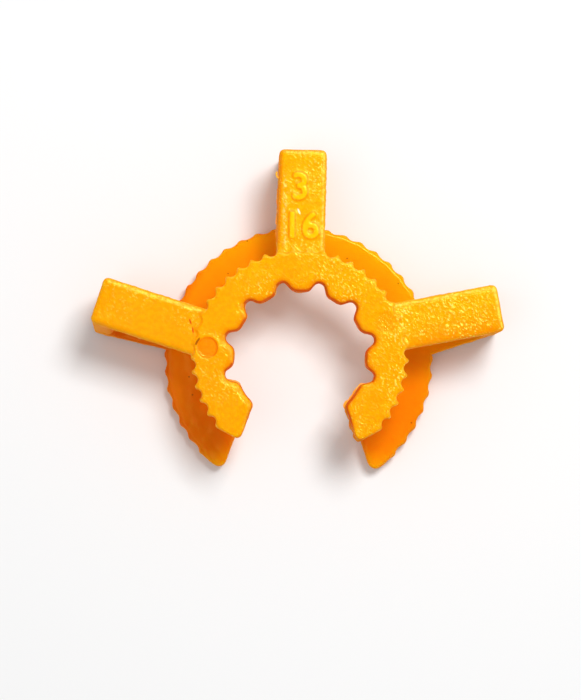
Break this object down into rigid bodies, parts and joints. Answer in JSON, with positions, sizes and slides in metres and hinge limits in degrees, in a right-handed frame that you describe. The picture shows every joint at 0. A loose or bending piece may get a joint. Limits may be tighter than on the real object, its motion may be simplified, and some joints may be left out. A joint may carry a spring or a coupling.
{
  "type": "ground glass joint clip",
  "caption": "Springy moulded plastic clip with an upper and a lower open toothed ring joined by looped arms, holding a tapered glass joint together.",
  "frame": {"origin": "on the common axis of the two rings, in the plane of the lower ring's outer face, which the clip lies on", "axes": "+Z along the joint's axis from the lower ring to the upper ring, +Y away from the mouth along the middle arm, +X to the right across the two side arms"},
  "size_m": [0.0392, 0.0301, 0.0111],
  "materials": {
    "moulding": "yellow-orange acetal, moulded, satin, with a fine spark-eroded grain on the outer face of the upper ring and arms"
  },
  "bodies": {
    "root": {"clip": "moulding"}
  },
  "joints": []
}
